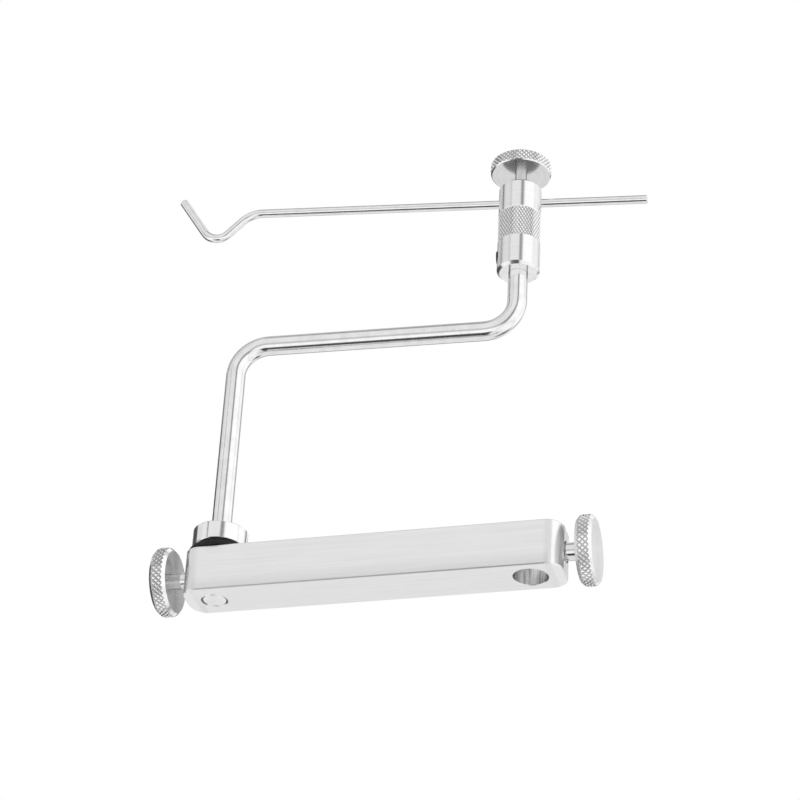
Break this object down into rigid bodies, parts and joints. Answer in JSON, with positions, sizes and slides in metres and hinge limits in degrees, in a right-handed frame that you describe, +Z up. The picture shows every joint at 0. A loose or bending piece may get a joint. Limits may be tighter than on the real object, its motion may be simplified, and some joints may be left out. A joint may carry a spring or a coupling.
{
  "type": "bobbin hanger",
  "caption": "Clamp bar for a fly-tying vise stem with a cranked swivel arm, a knurled barrel and a sliding hooked rod that holds the thread bobbin clear, all set by thumb screws.",
  "frame": {"origin": "on the axis of the stem bore, half way up the clamp bar", "axes": "+X along the bar away from the arm, +Y to the back, +Z up the vise stem"},
  "size_m": [0.1404, 0.0232, 0.1441],
  "materials": {
    "bar": "brushed",
    "washer": "matte",
    "stud": "turned",
    "knob": "turned, knurled rim",
    "rod": "polished",
    "collar": "polished",
    "barrel": "polished, knurled band",
    "set_screw": "black oxide"
  },
  "bodies": {
    "bar": {"clamp_bar": "bar", "friction_washer": "washer"},
    "stem_screw": {"stem_screw_stud": "stud"},
    "stem_knob": {"stem_screw_knob": "knob"},
    "arm_screw": {"arm_screw_stud": "stud"},
    "arm_knob": {"arm_screw_knob": "knob"},
    "arm": {"arm_rod": "rod", "arm_collar": "collar"},
    "barrel": {"rod_barrel": "barrel", "barrel_set_screw": "set_screw"},
    "rod_screw": {"rod_screw_stud": "stud"},
    "rod_knob": {"rod_screw_knob": "knob"},
    "hook": {"hook_rod": "rod"}
  },
  "joints": [
    {"name": "arm_swivel", "type": "hinge", "parent": "bar", "child": "arm", "pos_m": [-0.09, 0, 0], "axis": [0, 0, 1], "continuous": true},
    {"name": "barrel_swivel", "type": "hinge", "parent": "arm", "child": "barrel", "pos_m": [-0.00711, 0.0042, 0.0954], "axis": [0, 0, 1], "continuous": true},
    {"name": "hook_slide", "type": "slide", "parent": "barrel", "child": "hook", "axis": [0.9928, 0.1201, 0], "range_m": [-0.03, 0.068]},
    {"name": "stem_screw_travel", "type": "slide", "parent": "bar", "child": "stem_screw", "axis": [1, 0, 0], "range_m": [-0.0032, 0.0032]},
    {"name": "stem_screw_turn", "type": "hinge", "parent": "stem_screw", "child": "stem_knob", "pos_m": [0.0136, 0, 0], "axis": [1, 0, 0], "range_deg": [-1440, 1440]},
    {"name": "arm_screw_travel", "type": "slide", "parent": "bar", "child": "arm_screw", "axis": [-1, 0, 0], "range_m": [0, 0.004]},
    {"name": "arm_screw_turn", "type": "hinge", "parent": "arm_screw", "child": "arm_knob", "pos_m": [-0.1022, 0, 0], "axis": [-1, 0, 0], "range_deg": [0, 1800]},
    {"name": "rod_screw_travel", "type": "slide", "parent": "barrel", "child": "rod_screw", "axis": [0, 0, 1], "range_m": [0, 0.003]},
    {"name": "rod_screw_turn", "type": "hinge", "parent": "rod_screw", "child": "rod_knob", "pos_m": [-0.00711, 0.0042, 0.1305], "axis": [0, 0, 1], "range_deg": [0, 1800]}
  ],
  "couplings": [
    {"joint": "stem_screw_travel", "follows": "stem_screw_turn", "m_per_rad": 0.00012732},
    {"joint": "arm_screw_travel", "follows": "arm_screw_turn", "m_per_rad": 0.00012732},
    {"joint": "rod_screw_travel", "follows": "rod_screw_turn", "m_per_rad": 0.000095493}
  ]
}
